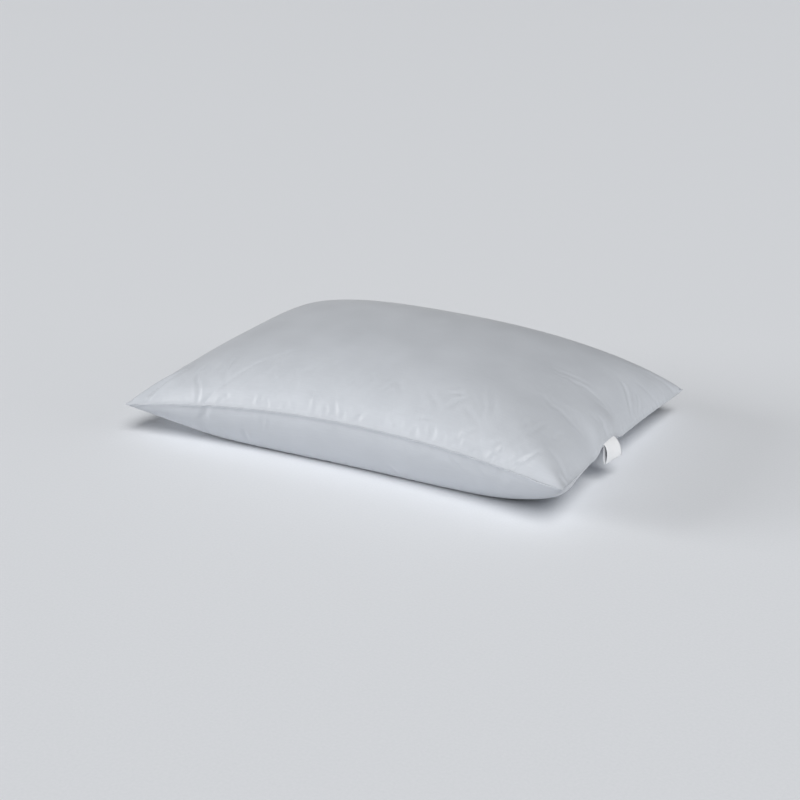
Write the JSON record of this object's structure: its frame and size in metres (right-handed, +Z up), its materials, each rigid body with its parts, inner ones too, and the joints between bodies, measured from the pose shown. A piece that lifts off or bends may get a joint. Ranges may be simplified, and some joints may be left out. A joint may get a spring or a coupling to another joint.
{
  "type": "bed pillow",
  "caption": "Soft bed pillow: two sateen cloth panels joined by a plain knife-edge seam round a fibre filling, with a folded blank label in one side.",
  "frame": {"origin": "centre of the pillow's footprint, on the surface that it lies on", "axes": "+X along the long sides, towards the short side that holds the label; +Y towards the back long side; +Z up"},
  "size_m": [0.68, 0.485, 0.1547],
  "materials": {
    "sateen_shell": "pale silver-grey sateen, soft sheen",
    "fibre_filling": "loose white fibre",
    "sewing_thread": "grey spun polyester thread",
    "overlock_thread": "pale overlock thread",
    "label_ribbon": "white satin ribbon, blank"
  },
  "bodies": {
    "root": {"top_panel": "sateen_shell", "bottom_panel": "sateen_shell", "fibre_fill": "fibre_filling", "seam_thread_front": "sewing_thread", "seam_thread_back": "sewing_thread", "seam_thread_right_front": "sewing_thread", "seam_thread_right_back": "sewing_thread", "seam_thread_left_front": "sewing_thread", "seam_thread_left_back": "sewing_thread", "closing_stitch": "sewing_thread", "overlock_front": "overlock_thread", "overlock_back": "overlock_thread", "overlock_right": "overlock_thread", "overlock_left_front": "overlock_thread", "overlock_left_back": "overlock_thread", "care_label": "label_ribbon"}
  },
  "joints": []
}
